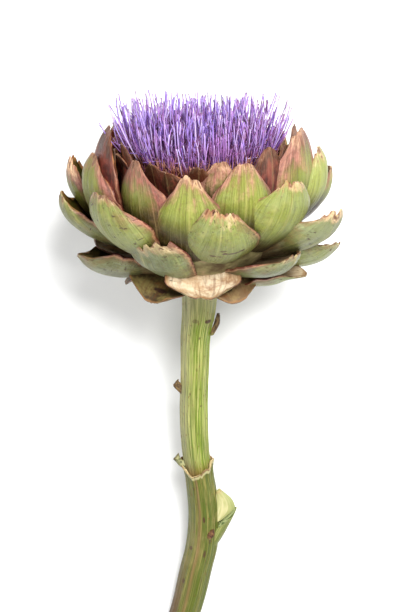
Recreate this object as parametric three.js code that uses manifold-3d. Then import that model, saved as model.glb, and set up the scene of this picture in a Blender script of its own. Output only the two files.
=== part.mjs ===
// An artichoke in flower, cut with a length of its stalk and laid on a table.
//
// The flower is worked out upright, as it grew: +Z up the axis of the head, -Y towards
// the viewer, the origin where the stalk meets the receptacle. The whole is then laid
// down on its back, the head towards +Y and resting on two of its spread bracts, the
// cut end of the stalk towards -Y. Units are millimetres.
import * as THREE from "three";
import { mergeVertices } from "three/addons/utils/BufferGeometryUtils.js";
import Module from "manifold-3d";

const wasm = await Module();
wasm.setup();

// Driving dimensions
const stalkLength = 190;
const headLean = 14.55; // degrees that the axis of the head rises above the table
const junctionHeight = 54.6; // from the table to where the stalk meets the receptacle
const nodeGap = 0.3;
const rootThickness = 3; // of a bract, down its midrib
const tipThickness = 1.2;
const floretBedRadius = 36.4;
const floretBedHeight = 68;
const filamentLength = 26;
const filamentCount = 330;

// Bracts change gradually from the lowest to the innermost. Each row gives one stage, at a
// level from 0, lowest, to 1: the radius and height of the root on the receptacle and the
// slope of the midrib there, the same for the tip, the width round the curl, and how far in
// degrees the blade curls to each side. Slopes are in degrees above the horizontal.
const stageKeys = [
  "level", "rootRadius", "rootHeight", "rootSlope", "tipRadius", "tipHeight", "tipSlope", "width", "cup",
];
const bractStages = [
  [0.0, 12, 9, -2, 37, 0, -40, 36, 26],
  [0.2, 15, 8, 4, 61, 23, 66, 44, 48],
  [0.45, 24, 15, 24, 64, 56, 98, 47, 56],
  [0.65, 28, 16, 36, 54, 76, 110, 44, 58],
  [0.85, 34, 22, 60, 45, 79, 102, 34, 44],
  [1.0, 37, 28, 80, 41.5, 77, 93, 25, 30],
].map((row) => Object.fromEntries(stageKeys.map((key, i) => [key, row[i]])));

// What all bracts have unless they have their own: where along them they are widest, how
// much of that width is left at the tip, and how far in degrees they roll about their midrib,
// so that neighbours lap over one another.
const commonShape = { widest: 0.6, tipShare: 0.46, roll: 8 };

// Each bract of a whorl is its azimuth, its level and what it has of its own in place of what
// its stage gives. Azimuth 0 faces the viewer and 90 is on the right.
const drooping = { rootRadius: 38, tipRadius: 47, tipHeight: 74, width: 22, tipSlope: 52, cup: 20 };
const whorls = [
  {
    rows: 3,
    columns: 3,
    bracts: [
      [-100, 0, { tipRadius: 39, tipHeight: -4, width: 34 }],
      [-41, 0, { tipRadius: 38.5, tipHeight: -2, width: 38, rootHeight: 7 }],
      [
        3, 0.02,
        { tipRadius: 39, tipHeight: 2.5, width: 39, rootHeight: 15.5, rootRadius: 17, roll: 0, tipShare: 0.6 },
      ],
      [30, 0, { tipRadius: 38, tipHeight: -1, width: 30, rootHeight: 6, tipShare: 0.6, roll: 0, cup: 18 }],
      [76, 0.1, { tipRadius: 56, tipHeight: 8, width: 40, rootHeight: 2.5, rootSlope: -16, roll: 2 }],
      [118, 0.03], [152, 0], [184, 0.03], [218, 0],
    ],
  },
  {
    rows: 4,
    columns: 4,
    bracts: [
      [-80, 0.17, { tipRadius: 62.5, tipHeight: 18, width: 50, rootHeight: 5, roll: -6, cup: 54 }],
      [-35.5, 0.24, { tipRadius: 52, tipHeight: 36, width: 50, tipShare: 0.7, widest: 0.7 }],
      [56, 0.22, { tipRadius: 58, tipHeight: 26, width: 49, roll: 0 }],
      [86, 0.24, { tipRadius: 68, tipHeight: 24, width: 46, roll: 34 }],
      [122, 0.2],
      [158.4, 0.22, { tipRadius: 66, tipHeight: 22, width: 44, cup: 46.3 }],
      [198.4, 0.22, { tipRadius: 66, tipHeight: 22, width: 44, cup: 46.3 }],
      [240, 0.2],
    ],
  },
  {
    rows: 4,
    columns: 4,
    bracts: [
      [-86, 0.43, { tipRadius: 68.5, tipHeight: 49.5, width: 46, roll: -2 }],
      [-48, 0.48, { tipRadius: 63.5, tipHeight: 61, width: 47, roll: 0, tipShare: 0.56 }],
      [10, 0.46, { tipRadius: 60, tipHeight: 57, width: 48, widest: 0.46, tipShare: 0.42, rootHeight: 17 }],
      [45, 0.53, { tipRadius: 61, tipHeight: 68, width: 45, roll: 14, rootHeight: 20, rootRadius: 30 }],
      [70, 0.4, { tipRadius: 71, tipHeight: 47, width: 52, roll: 18 }],
      [112, 0.43], [146, 0.46],
      [180, 0.46, { tipRadius: 60, tipHeight: 56, width: 45 }],
      [214, 0.45], [246, 0.47],
    ],
  },
  {
    rows: 4,
    columns: 3,
    bracts: [
      [-97, 0.55, { tipRadius: 64, tipHeight: 63, width: 38, roll: -10 }],
      [-70, 0.62, { tipRadius: 53.5, tipHeight: 74, width: 46, roll: 4, tipSlope: 122 }],
      [-37, 0.68, { tipRadius: 49.5, tipHeight: 77, width: 38, tipShare: 0.3 }],
      [-5, 0.62, { tipRadius: 52, tipHeight: 72.5, width: 47, tipShare: 0.36, widest: 0.5, roll: -4 }],
      [25, 0.68, { tipRadius: 49, tipHeight: 77, width: 38, tipShare: 0.5 }],
      [71, 0.68, { tipRadius: 50, tipHeight: 85.5, width: 48, roll: 14 }],
      [86, 0.58, { tipRadius: 57, tipHeight: 72, width: 46, roll: 16, tipSlope: 124 }],
      [106, 0.55, { tipRadius: 67, tipHeight: 56, width: 42 }],
      [136, 0.6], [166, 0.66], [197, 0.62], [229, 0.66],
    ],
  },
  {
    rows: 3,
    columns: 2,
    bracts: [
      [-76, 0.75, { tipRadius: 43.5, tipHeight: 85.5, width: 48, tipSlope: 128 }],
      [-58, 0.86, { tipRadius: 44, tipHeight: 80, width: 32, tipSlope: 80 }],
      [-20, 0.87, { tipRadius: 48, tipHeight: 71, width: 30, tipSlope: 46 }],
      [13, 0.87, { tipRadius: 44, tipHeight: 77, width: 32 }],
      [48.5, 0.87, { tipRadius: 44.5, tipHeight: 80, width: 32 }],
      [66.5, 0.87, { tipRadius: 45, tipHeight: 78, width: 32 }],
      [90, 0.84, { tipRadius: 46, tipHeight: 83, width: 36 }],
      [118, 0.85], [150, 0.87], [182, 0.85], [213, 0.87], [245, 0.85],
    ],
  },
  {
    rows: 2,
    columns: 2,
    bracts: Array.from({ length: 12 }, (_, k) => [30 * k, 1, [0, 10, 11].includes(k) ? drooping : {}]),
  },
];

const rad = THREE.MathUtils.degToRad;

// A repeatable number from 0 to 1 for each whole number.
function draw(seed) {
  const wave = Math.sin(seed * 12.9898) * 43758.5453;
  return wave - Math.floor(wave);
}

// Joining and cutting

function toSolid(geometry) {
  const bare = geometry.index ? geometry.toNonIndexed() : geometry.clone();
  bare.deleteAttribute("normal");
  bare.deleteAttribute("uv");
  const merged = mergeVertices(bare, 1e-4);
  return new wasm.Manifold(
    new wasm.Mesh({
      numProp: 3,
      vertProperties: new Float32Array(merged.attributes.position.array),
      triVerts: new Uint32Array(merged.index.array),
    }),
  );
}

function toGeometry(solid) {
  const mesh = solid.getMesh();
  const geometry = new THREE.BufferGeometry();
  geometry.setAttribute("position", new THREE.BufferAttribute(new Float32Array(mesh.vertProperties), 3));
  geometry.setIndex(new THREE.BufferAttribute(new Uint32Array(mesh.triVerts), 1));
  geometry.computeVertexNormals();
  return geometry;
}

// A closed surface from rings of points, each ring with the same number of points, capped
// with a fan at both ends. The rings run along the piece, anticlockwise seen from its far end.
function loft(rings) {
  const sides = rings[0].length;
  const points = rings.flat();
  const faces = [];
  for (let i = 0; i < rings.length - 1; i++) {
    for (let j = 0; j < sides; j++) {
      const a = i * sides + j;
      const b = i * sides + ((j + 1) % sides);
      faces.push(a, b, b + sides, a, b + sides, a + sides);
    }
  }
  const last = (rings.length - 1) * sides;
  for (let j = 1; j < sides - 1; j++) {
    faces.push(0, j + 1, j);
    faces.push(last, last + j, last + j + 1);
  }
  const geometry = new THREE.BufferGeometry().setFromPoints(points);
  geometry.setIndex(faces);
  return geometry;
}

// Bracts

function stageAt(level) {
  const above = Math.max(1, bractStages.findIndex((stage) => stage.level >= level));
  const [low, high] = [bractStages[above - 1], bractStages[above]];
  const share = (level - low.level) / (high.level - low.level);
  const stage = { ...commonShape };
  for (const key of Object.keys(low)) {
    stage[key] = low[key] + (high[key] - low[key]) * share;
  }
  return stage;
}

// Half the width of a blade along its length, as a share of the widest: a narrow root,
// broad shoulders past the middle and a blunt tip.
function outline({ widest, tipShare }, along) {
  const rootShare = 0.45;
  if (along < widest) {
    return rootShare + (1 - rootShare) * Math.sin((Math.PI / 2) * Math.max(0, along / widest));
  }
  return 1 - (1 - tipShare) * Math.pow((along - widest) / (1 - widest), 2.3);
}

// The midrib swings from its slope at the root to its slope at the tip.
function midribPoint(stage, along) {
  const root = new THREE.Vector2(stage.rootRadius, stage.rootHeight);
  const tip = new THREE.Vector2(stage.tipRadius, stage.tipHeight);
  const pull = 0.42 * root.distanceTo(tip);
  const heading = (slope) => new THREE.Vector2(Math.cos(rad(slope)), Math.sin(rad(slope)));
  const curve = new THREE.CubicBezierCurve(
    root,
    root.clone().addScaledVector(heading(stage.rootSlope), pull),
    tip.clone().addScaledVector(heading(stage.tipSlope), -pull),
    tip,
  );
  const point = curve.getPoint(Math.max(0, along));
  const tangent = curve.getTangent(Math.max(0, along));
  point.addScaledVector(tangent, 2.4 * pull * Math.min(0, along));
  return { radius: point.x, height: point.y, slope: Math.atan2(tangent.y, tangent.x) };
}

// A point on one face of the blade. along runs from root to tip and across from -1 to 1.
// side is -1 on the outer face and 1 on the face towards the axis.
function bladePoint(stage, azimuth, along, across, side) {
  const grown = Math.max(0, along);
  const tipCut = 0.03 + 0.13 * Math.pow(Math.abs(across), 2.5);
  const { radius, height, slope } = midribPoint(stage, along - tipCut * Math.pow(grown, 4));
  const cup = rad(stage.cup) * (0.4 + 0.6 * Math.min(1, grown / 0.4));
  const arcRadius = ((stage.width / 2) * outline(stage, along)) / cup;
  const angle = across * cup;
  const midrib = rootThickness + (tipThickness - rootThickness) * grown;
  const offFace = (side * midrib * (1 - 0.42 * across * across)) / 2;
  const inward = arcRadius * (1 - Math.cos(angle)) + offFace * Math.cos(angle);
  const sideways = arcRadius * Math.sin(angle) - offFace * Math.sin(angle);
  const roll = rad(stage.roll);
  const depth = inward * Math.cos(roll) - sideways * Math.sin(roll);
  const offset = inward * Math.sin(roll) + sideways * Math.cos(roll);
  const outward = radius - depth * Math.sin(slope);
  return new THREE.Vector3(
    outward * Math.sin(azimuth) + offset * Math.cos(azimuth),
    -outward * Math.cos(azimuth) + offset * Math.sin(azimuth),
    height + depth * Math.cos(slope),
  );
}

function bract({ azimuth, stage, rows, columns }) {
  const rootDepth = 0.1;
  const rings = [];
  for (let i = 0; i <= rows; i++) {
    const along = (1 + rootDepth) * Math.pow(i / rows, 0.75) - rootDepth;
    const ring = [];
    for (let j = 0; j <= columns; j++) {
      ring.push(bladePoint(stage, azimuth, along, (2 * j) / columns - 1, -1));
    }
    for (let j = columns; j >= 0; j--) {
      ring.push(bladePoint(stage, azimuth, along, (2 * j) / columns - 1, 1));
    }
    rings.push(ring);
  }
  return bladeSurface(rings, columns);
}

// The blade's closed surface. Both faces are split along the same diagonals, and the ends
// are closed by strips between the faces, so that a bent blade never crosses itself.
function bladeSurface(rings, columns) {
  const sides = 2 * (columns + 1);
  const faces = [];
  const quad = (a, b, c, d) => faces.push(a, b, c, a, c, d);
  for (let i = 0; i < rings.length - 1; i++) {
    for (let j = 0; j < sides; j++) {
      const a = i * sides + j;
      const b = i * sides + ((j + 1) % sides);
      if (j <= columns) quad(a, b, b + sides, a + sides);
      else quad(b, b + sides, a + sides, a);
    }
  }
  const last = (rings.length - 1) * sides;
  for (let j = 0; j < columns; j++) {
    const [outer, inner] = [j, sides - 1 - j];
    quad(outer, inner, inner - 1, outer + 1);
    quad(last + outer, last + outer + 1, last + inner - 1, last + inner);
  }
  const geometry = new THREE.BufferGeometry().setFromPoints(rings.flat());
  geometry.setIndex(faces);
  return geometry;
}

function allBracts() {
  const placed = [];
  for (const { rows, columns, bracts } of whorls) {
    for (const [azimuth, level, own] of bracts) {
      const stage = stageAt(level);
      const size = 0.9 + 0.08 * draw(placed.length + 1);
      stage.tipHeight *= size;
      stage.width *= size;
      placed.push({ azimuth: rad(azimuth), stage: { ...stage, ...own }, rows, columns });
    }
  }
  return placed;
}

// Receptacle

function receptacle() {
  const profile = [
    [0, 0], [8.5, 0], [12, 2.5], [17, 5], [24, 9], [32, 15], [38, 22], [40, 31],
    [38.2, 33], [37, 30], [33, 25], [20, 21.5], [0, 21.5],
  ];
  const geometry = new THREE.LatheGeometry(
    profile.map(([radius, height]) => new THREE.Vector2(radius, height)),
    28,
  );
  return geometry.rotateX(Math.PI / 2);
}

// The receptacle and its bracts as one body. Closed pockets between the roots are filled.
function headSolid(floorBlock) {
  let solid = toSolid(receptacle());
  for (const placing of allBracts()) {
    solid = solid.add(toSolid(bract(placing)));
  }
  const smallestDetail = 0.08;
  const shells = solid.subtract(floorBlock).simplify(smallestDetail).decompose();
  return shells.find((shell) => shell.volume() > 0);
}

// Florets

// One floret. Its lean is eased by the given share to keep it clear of the bracts.
function filament(index, ease) {
  const share = (index + 0.5) / filamentCount;
  const turn = index * Math.PI * (3 - Math.sqrt(5));
  const lean = ease * rad(30 * Math.pow(share, 0.8) + 10 * (draw(index + 0.1) - 0.5));
  const length = (filamentLength - 7 * share) * (0.86 + 0.28 * draw(index + 0.7));
  const sweep = turn + 0.6 * (draw(index + 0.4) - 0.5);
  const rootDepth = 4;
  const footRadius = 0.95;
  const start = new THREE.Vector3(Math.cos(turn), Math.sin(turn), 0)
    .multiplyScalar((floretBedRadius - 2) * Math.sqrt(share))
    .setZ(floretBedHeight - 3 * share);
  const heading = new THREE.Vector3(Math.cos(sweep), Math.sin(sweep), 0)
    .multiplyScalar(Math.sin(lean))
    .setZ(Math.cos(lean));
  const foot = start.clone().addScaledVector(heading, -rootDepth);
  const ring = [0, 1, 2].map((corner) => {
    const angle = turn + (corner * 2 * Math.PI) / 3;
    return new THREE.Vector3(Math.cos(angle), Math.sin(angle), 0).multiplyScalar(footRadius).add(foot);
  });
  return needle(ring, start.clone().addScaledVector(heading, length));
}

// A needle with a three-cornered foot and a sharp tip.
function needle(ring, tip) {
  const geometry = new THREE.BufferGeometry().setFromPoints([...ring, tip]);
  geometry.setIndex([0, 1, 3, 1, 2, 3, 2, 0, 3, 0, 2, 1]);
  return geometry;
}

function floretCore() {
  const low = 21.5 + nodeGap;
  const profile = [
    [0, low], [19, low], [26.2, 24.2], [30, 33], [33, 45], [floretBedRadius - 2.2, floretBedHeight - 8],
    [floretBedRadius, floretBedHeight - 4.5], [20, floretBedHeight - 1.2], [0, floretBedHeight],
  ];
  const geometry = new THREE.LatheGeometry(
    profile.map(([radius, height]) => new THREE.Vector2(radius, height)),
    24,
  );
  return geometry.rotateX(Math.PI / 2);
}

function florets(surround) {
  let solid = toSolid(floretCore());
  for (let index = 0; index < filamentCount; index++) {
    const eases = [1, 0.8, 0.6, 0.4, 0.2];
    const ease = eases.find(
      (share) => toSolid(filament(index, share)).minGap(surround, 2 * nodeGap) > nodeGap,
    );
    solid = solid.add(toSolid(filament(index, ease)));
  }
  return toGeometry(solid);
}

// Stalk

const stalkLine = new THREE.CatmullRomCurve3(
  [
    [0, 0], [-0.4, -16], [-1.8, -27], [-2.4, -49], [-2.9, -71], [-1.9, -93], [1, -114],
    [2, -126], [0.9, -147], [-1.6, -158], [-5.4, -176], [-9.2, -stalkLength],
  ].map(([x, z]) => new THREE.Vector3(x, 0, z)),
);

// A ribbed stretch of the stalk. radiusAt gives the radius for a share of the whole line,
// and topCut how much lower the top ends at each angle round it.
function stalkStretch({ from, to, steps, sides, radiusAt, topCut }) {
  const rings = [];
  for (let i = 0; i <= steps; i++) {
    const share = from + (to - from) * (i / steps);
    const ring = [];
    for (let j = 0; j < sides; j++) {
      const angle = (-2 * Math.PI * j) / sides;
      const own = share + (topCut ? topCut(angle) * (1 - i / steps) : 0);
      const centre = stalkLine.getPointAt(Math.min(1, own));
      const rib = 1 + (j % 2 ? -0.05 : 0.03);
      const radius = radiusAt(own) * rib;
      ring.push(new THREE.Vector3(radius * Math.cos(angle), radius * Math.sin(angle), 0).add(centre));
    }
    rings.push(ring);
  }
  return loft(rings);
}

// The radius of the stalk at each share of its line. It is thickest under the head and
// below the sheath.
const upperRadii = [[0, 9.2], [0.07, 8.6], [0.14, 7.7], [0.26, 7.1], [0.4, 7.1], [0.56, 6.6]];
const lowerRadii = [[0.48, 8], [0.52, 7.9], [0.55, 7.4], [0.6, 7.6], [0.68, 7.8], [0.78, 8.3], [1, 8.1]];

function between(table, share) {
  const next = Math.max(1, table.findIndex(([at]) => at >= share));
  const [[from, low], [to, high]] = [table[next - 1], table[next]];
  return low + ((high - low) * (share - from)) / (to - from);
}

// A leafy piece that faces the viewer, between two edges given as [x, z] from its root up.
function flap(leftEdge, rightEdge, depth, thickness) {
  const outline = [[0, 0], [0.3, -0.5], [0.7, -0.5], [1, 0], [0.7, 0.5], [0.3, 0.5]];
  const rings = leftEdge.map(([left, leftHeight], i) => {
    const [right, rightHeight] = rightEdge[i];
    return outline.map(
      ([share, side]) =>
        new THREE.Vector3(
          left + (right - left) * share,
          depth + side * thickness,
          leftHeight + (rightHeight - leftHeight) * share,
        ),
    );
  });
  return loft(rings);
}

// The leaf that clasped the stalk was cut off above its sheath. Its stub and the pale bud in
// its axil stay, with a torn curl of the sheath and, higher up, two small scales.
function stalkDetails() {
  const stub = flap(
    [[0.5, -151.6], [3.7, -140.2], [6.3, -135.2], [9, -132.3]],
    [[6.3, -148.2], [11.2, -140.2], [15.5, -131.1], [19.5, -123.2]],
    -1.5,
    9,
  );
  const bud = flap(
    [[5.5, -131], [7, -124], [8, -118], [8.6, -112.6]],
    [[12.2, -129], [17.4, -123.4], [15.8, -117.5], [10, -112]],
    -2,
    3.6,
  );
  const curl = flap(
    [[-5.5, -103], [-10.5, -100.5], [-13.4, -96.5]],
    [[-5, -98.5], [-9.4, -97], [-11.2, -94]],
    -1.5,
    3,
  );
  const highScale = flap(
    [[5, -28.7], [6.6, -24], [7.5, -18.6]],
    [[7.5, -28.4], [10.3, -23.8], [10.1, -20.2]],
    -2,
    3,
  );
  const lowScale = flap(
    [[-8, -62], [-13, -56.5], [-12.2, -53.9]],
    [[-6, -60.5], [-8.5, -56], [-10.2, -52.9]],
    -2,
    2.6,
  );
  return [stub, bud, curl, highScale, lowScale];
}

function stalk(floorBlock) {
  const collar = 0.518;
  const upper = stalkStretch({
    from: nodeGap / stalkLength,
    to: collar + 0.03,
    steps: 8,
    sides: 20,
    radiusAt: (share) => between(upperRadii, share),
  });
  const lower = stalkStretch({
    from: collar,
    to: 1,
    steps: 8,
    sides: 20,
    radiusAt: (share) => between(lowerRadii, share),
    topCut: (angle) => 0.033 * Math.max(0, Math.cos(angle - rad(250))) ** 2,
  });
  let solid = toSolid(upper).add(toSolid(lower));
  for (const detail of stalkDetails()) {
    solid = solid.add(toSolid(detail));
  }
  return toGeometry(solid.subtract(floorBlock));
}

// The whole flower, laid down

const laid = new THREE.Group();
laid.rotation.x = -(Math.PI / 2 - rad(headLean));
laid.position.z = junctionHeight;
laid.updateMatrixWorld(true);

const floorDepth = 100;
const floorBlock = toSolid(
  new THREE.BoxGeometry(600, 600, floorDepth)
    .translate(0, 0, -floorDepth / 2)
    .applyMatrix4(laid.matrixWorld.clone().invert()),
);

function piece(name, geometry, colour, roughness) {
  const material = new THREE.MeshStandardMaterial({ color: colour, roughness, metalness: 0 });
  const mesh = new THREE.Mesh(geometry, material);
  mesh.name = name;
  return mesh;
}

const head = headSolid(floorBlock);
laid.add(
  piece("receptacle_and_bracts", toGeometry(head), 0x8f9c5a, 0.55),
  piece("florets", florets(head), 0x8468c8, 0.6),
  piece("stalk", stalk(floorBlock), 0x93a54f, 0.5),
);
const middle = new THREE.Box3().setFromObject(laid, true).getCenter(new THREE.Vector3());
laid.position.x = -middle.x;
laid.position.y = -middle.y;

const artichokeFlower = new THREE.Group();
artichokeFlower.add(laid);

export default artichokeFlower;
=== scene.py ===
import math

import bpy
import numpy as np
from mathutils import Euler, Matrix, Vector


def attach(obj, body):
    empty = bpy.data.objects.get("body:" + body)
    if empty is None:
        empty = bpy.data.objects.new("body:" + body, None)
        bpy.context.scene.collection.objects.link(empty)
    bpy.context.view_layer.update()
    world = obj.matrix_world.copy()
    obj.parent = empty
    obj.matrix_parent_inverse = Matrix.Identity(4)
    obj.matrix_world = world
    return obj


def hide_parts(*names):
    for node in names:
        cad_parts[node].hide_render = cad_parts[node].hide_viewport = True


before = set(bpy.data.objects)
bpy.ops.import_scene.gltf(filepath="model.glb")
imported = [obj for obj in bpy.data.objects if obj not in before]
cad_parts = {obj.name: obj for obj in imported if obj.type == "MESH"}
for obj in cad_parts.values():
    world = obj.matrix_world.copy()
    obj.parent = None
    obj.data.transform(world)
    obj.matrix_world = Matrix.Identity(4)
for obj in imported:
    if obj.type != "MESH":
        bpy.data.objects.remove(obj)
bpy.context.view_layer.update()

# Placement, as in the solid model. The flower is worked out upright in millimetres: +Z up
# the axis of the head, -Y towards the viewer, the origin where the stalk meets the
# receptacle. It is then laid down on the table.
MM = 0.001
HEAD_LEAN = math.radians(14.55)
JUNCTION = np.array([-0.2617, 44.6603, 54.6])
FULL_TURN = 0, 2 * np.pi


def laid(points):
    """Upright points in millimetres to points on the table in metres."""
    x, y, z = points[..., 0], points[..., 1], points[..., 2]
    lean_sin, lean_cos = math.sin(HEAD_LEAN), math.cos(HEAD_LEAN)
    turned = np.stack([x, y * lean_sin + z * lean_cos, z * lean_sin - y * lean_cos], axis=-1)
    placed = (turned + JUNCTION) * MM
    placed[..., 2] = np.maximum(placed[..., 2], 0.0)
    return placed


def draw(seed):
    """A number from 0 to 1 that looks random and is always the same for a seed."""
    wave = math.sin(seed * 12.9898) * 43758.5453
    return wave - math.floor(wave)


def smooth(value, low, high):
    """Rises smoothly from 0 at low to 1 at high."""
    share = np.clip((value - low) / (high - low), 0, 1)
    return share * share * (3 - 2 * share)


def wander(rng, at, knots, low=-1.0, high=1.0):
    """A smooth random curve over at, which runs from low to high."""
    values = rng.uniform(-1, 1, knots)
    place = (np.clip(at, low, high) - low) / (high - low) * (knots - 1)
    index = np.minimum(place.astype(int), knots - 2)
    share = place - index
    share = share * share * (3 - 2 * share)
    return values[index] * (1 - share) + values[index + 1] * share


# Materials

DEPTH = 1.25  # above 1, darker and stronger colours
FLESH_REACH = (1.0, 0.8, 0.4)  # of red, green and blue light under the surface
FLESH_SCALE = 0.0015


def linear(colour):
    """Three values from 0 to 255, as a screen shows them, for a node. Others stay as they are."""
    if isinstance(colour, tuple) and len(colour) == 3:
        return tuple((((value / 255 + 0.055) / 1.055) ** 2.4) ** DEPTH for value in colour) + (1.0,)
    return colour


class Shader:
    """A material made of nodes, with short names for the nodes it uses most."""

    def __init__(self, name, roughness=0.5, subsurface=0.0, specular=0.4):
        self.material = bpy.data.materials.new(name)
        self.material.use_nodes = True
        self.tree = self.material.node_tree
        self.surface = self.tree.nodes["Principled BSDF"]
        looks = {
            "Roughness": roughness, "Specular IOR Level": specular, "Subsurface Weight": subsurface,
            "Subsurface Radius": FLESH_REACH, "Subsurface Scale": FLESH_SCALE,
        }
        for title, value in looks.items():
            self.surface.inputs[title].default_value = value
        split = self.node("ShaderNodeSeparateXYZ", {"Vector": self.node("ShaderNodeUVMap").outputs[0]})
        self.u, self.v = split.outputs[0], split.outputs[1]
        self.level, self.chance, self.torn = self.stored("tone")[:3]
        self.place = self.node("ShaderNodeTexCoord").outputs["Object"]

    def node(self, kind, inputs=None, **settings):
        made = self.tree.nodes.new(kind)
        for key, value in settings.items():
            setattr(made, key, value)
        for key, value in (inputs or {}).items():
            socket = made.inputs[key]
            if isinstance(value, bpy.types.NodeSocket):
                self.tree.links.new(value, socket)
            else:
                socket.default_value = value
        return made

    def stored(self, title):
        """The four parts of a colour that the mesh keeps for each point."""
        colour = self.node("ShaderNodeVertexColor", layer_name=title).outputs
        parts = self.node("ShaderNodeSeparateColor", {"Color": colour[0]}).outputs
        return [parts[0], parts[1], parts[2], colour[1]]

    def shades(self):
        """How far the purple reaches, how pale the bract is and how warm its purple, each from
        -1 to 1, and the share of its length that others cover, where painted shade goes."""
        *parts, covered = self.stored("shade")
        return [self.scaled(part, 2.0, -1.0) for part in parts] + [covered]

    def math(self, operation, a, b=0.0, c=0.0):
        return self.node("ShaderNodeMath", {0: a, 1: b, 2: c}, operation=operation).outputs[0]

    def times(self, a, b):
        return self.math("MULTIPLY", a, b)

    def plus(self, a, b):
        return self.math("ADD", a, b)

    def minus(self, a, b):
        return self.math("SUBTRACT", a, b)

    def scaled(self, a, factor, more):
        return self.math("MULTIPLY_ADD", a, factor, more)

    def step(self, value, low, high):
        """Rises smoothly from 0 at low to 1 at high. High may be the lower of the two."""
        inputs = {0: value, 1: low, 2: high}
        return self.node("ShaderNodeMapRange", inputs, interpolation_type="SMOOTHSTEP").outputs[0]

    def mix(self, share, a, b):
        inputs = {0: share, 6: linear(a), 7: linear(b)}
        return self.node("ShaderNodeMix", inputs, data_type="RGBA").outputs[2]

    def over(self, body, share, strength, colour):
        return self.mix(self.times(share, strength), body, colour)

    def layers(self, body, *rows):
        """Lays colours over a body. Each row is a value, where its colour starts and where it is
        full, the strength and the colour, and it may end with the share of a place to keep to."""
        for value, low, high, strength, colour, *kept in rows:
            share = self.step(value, low, high)
            for where in kept:
                share = self.times(share, where)
            body = self.over(body, share, strength, colour)
        return body

    def vector(self, x, y, z):
        return self.node("ShaderNodeCombineXYZ", {0: x, 1: y, 2: z}).outputs[0]

    def stretched(self, u, v, chance):
        """The place on the surface and the chance, each times a factor, as a vector."""
        return self.vector(self.times(self.u, u), self.times(self.v, v), self.times(self.chance, chance))

    def noise(self, vector, scale, detail, rough):
        inputs = {"Vector": vector, "Scale": scale, "Detail": detail, "Roughness": rough}
        return self.node("ShaderNodeTexNoise", inputs).outputs[0]

    def ramp(self, value, *stops):
        made = self.node("ShaderNodeValToRGB", {0: value})
        elements = made.color_ramp.elements
        while len(elements) < len(stops):
            elements.new(1.0)
        for element, (position, colour) in zip(elements, stops):
            element.position = position
            element.color = linear(colour)
        return made.outputs[0]

    def finish(self, colour, height=None, distance=0.0002, strength=1.0, roughness=None):
        inputs = {"Base Color": colour, "Roughness": roughness}
        if height is not None:
            bumps = {"Strength": strength, "Distance": distance, "Height": height}
            inputs["Normal"] = self.node("ShaderNodeBump", bumps).outputs[0]
        for title, value in inputs.items():
            if value is not None:
                self.tree.links.new(value, self.surface.inputs[title])
        return self.material


def edge_share(s):
    """How near the margin of a blade is, from 0 along its middle to 1."""
    return s.math("ABSOLUTE", s.scaled(s.u, 2, -1))


def fibres(s, fine, length):
    """Fine lines that run along the blade, from 0 to 1."""
    return s.noise(s.stretched(fine, length, 37), 1, 4, 0.62)


def spots(s, body, marks, across, here, uneven, full, tint):
    """Ragged spots. Each mark is its place across and along, its half sizes and its strength."""
    ragged = s.scaled(s.noise(s.place, 900, 2, 0.6), uneven, -uneven / 2)
    for u, v, wide, tall, strength in marks:
        dx = s.scaled(across, 1 / wide, -u / wide)
        dy = s.scaled(s.v, 1 / tall, -v / tall)
        off = s.plus(s.times(dx, dx), s.times(dy, dy))
        spot = s.times(s.step(s.plus(off, ragged), 1.1, full), here)
        body = s.over(body, spot, strength, tint)
    return body


# Brown marks on the outer face of the front cupped bract, and one inside a low bract.
FRONT_MARKS = (
    (0.66, 0.485, 0.08, 0.017, 0.9), (0.55, 0.55, 0.04, 0.018, 0.7), (0.75, 0.5, 0.04, 0.018, 0.9),
    (0.46, 0.44, 0.035, 0.022, 0.9), (0.53, 0.435, 0.03, 0.016, 0.7), (0.57, 0.5, 0.03, 0.022, 0.9),
)
INNER_MARKS = ((0.56, 0.72, 0.13, 0.06, 0.9),)
FRONT_BRACT, STAINED_BRACT = 20, 2  # counted from 1 through the whorls


def bract_chance(number):
    return draw(number + 0.25)


def bract_spots(s, body, marks, number, tint):
    """Spots on the bract with this number only."""
    gap = s.math("ABSOLUTE", s.minus(s.chance, bract_chance(number)))
    return spots(s, body, marks, s.u, s.math("LESS_THAN", gap, 0.0005), 1.6, 0.4, tint)


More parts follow.
